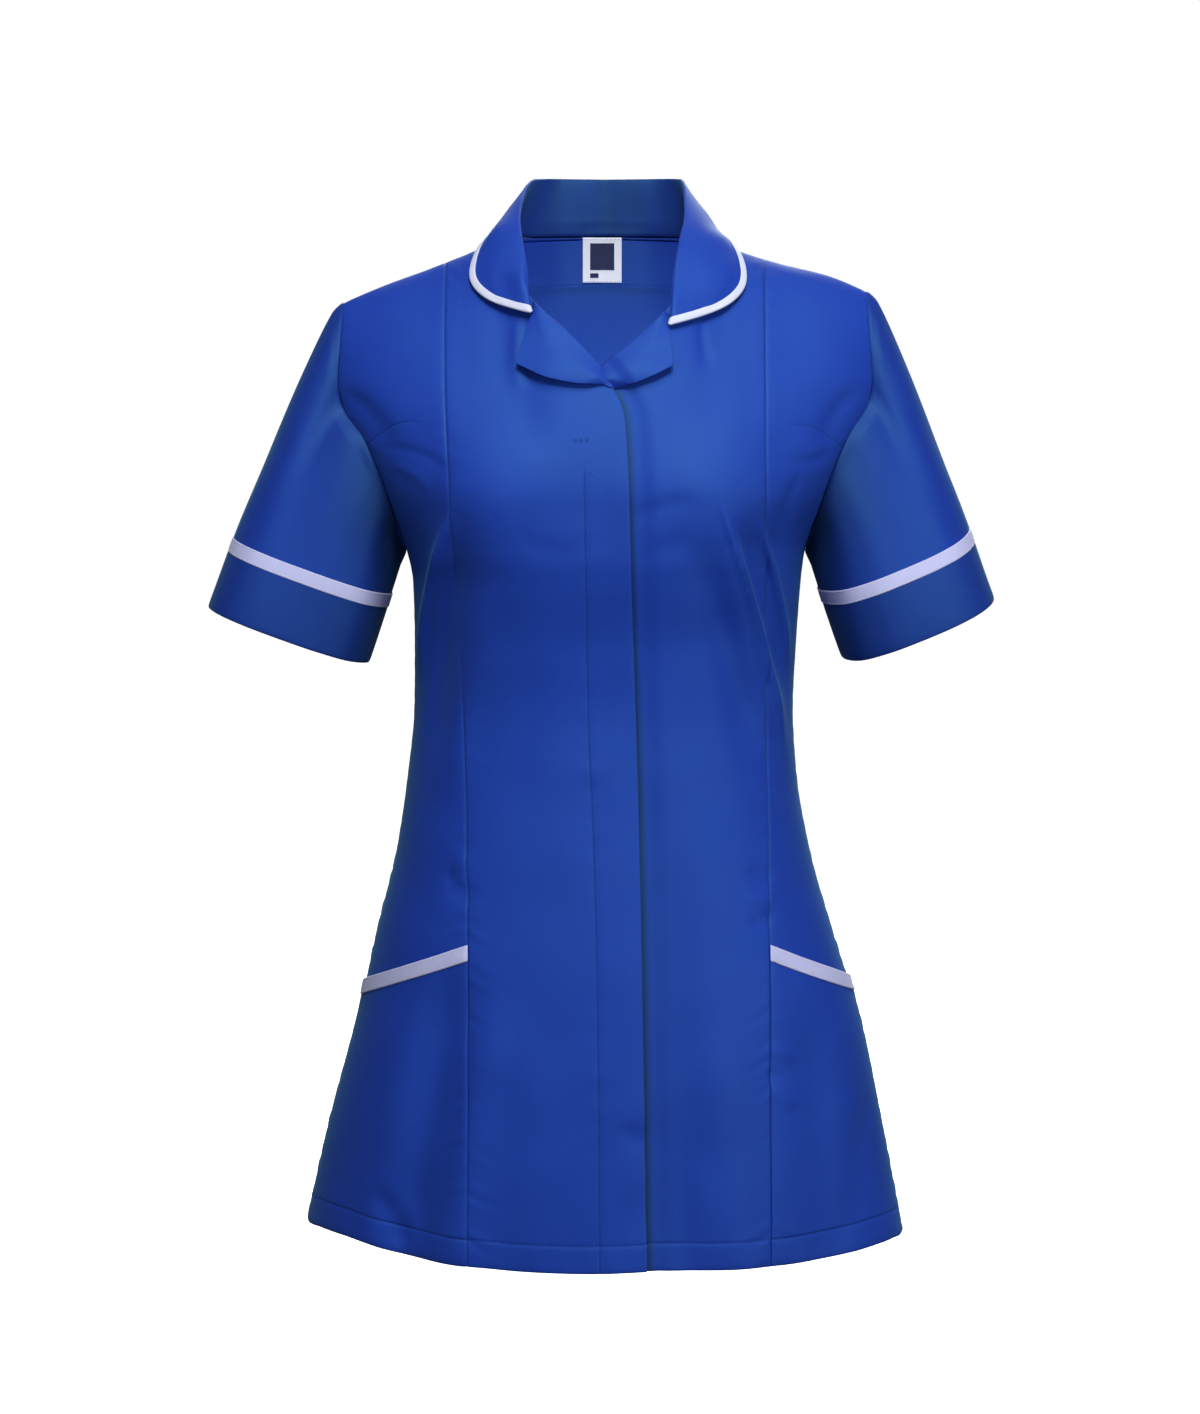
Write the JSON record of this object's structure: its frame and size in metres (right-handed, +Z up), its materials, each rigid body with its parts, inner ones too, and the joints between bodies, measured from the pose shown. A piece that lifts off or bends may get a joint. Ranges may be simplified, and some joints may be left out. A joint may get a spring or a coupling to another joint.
{
  "type": "medical tunic",
  "caption": "Short-sleeved double-lapel nurse's tunic with a bound collar, fly front, princess seams and slanted bound pockets, shown as worn",
  "frame": {"origin": "midway between the two side neck points, on the line of the shoulder seams, where a wearer's shoulders hold the tunic up", "axes": "+Z up along the tunic's length, +X towards the wearer's left, -Y out of the front"},
  "size_m": [0.5627, 0.2777, 0.7625],
  "materials": {
    "blue_poplin": "royal blue polyester and cotton poplin, matt with a faint sheen",
    "white_binding": "white woven binding, matt"
  },
  "bodies": {
    "root": {"front_right": "blue_poplin", "front_left": "blue_poplin", "side_front_right": "blue_poplin", "side_front_left": "blue_poplin", "back": "blue_poplin", "sleeve_right": "blue_poplin", "sleeve_left": "blue_poplin", "sleeve_trim_right": "white_binding", "sleeve_trim_left": "white_binding", "cuff_right": "blue_poplin", "cuff_left": "blue_poplin", "collar": "blue_poplin", "collar_binding": "white_binding", "lapel_right": "blue_poplin", "lapel_left": "blue_poplin", "back_neck_facing": "blue_poplin", "neck_label": "white_binding", "pocket_right": "blue_poplin", "pocket_left": "blue_poplin", "pocket_binding_right": "white_binding", "pocket_binding_left": "white_binding"}
  },
  "joints": []
}
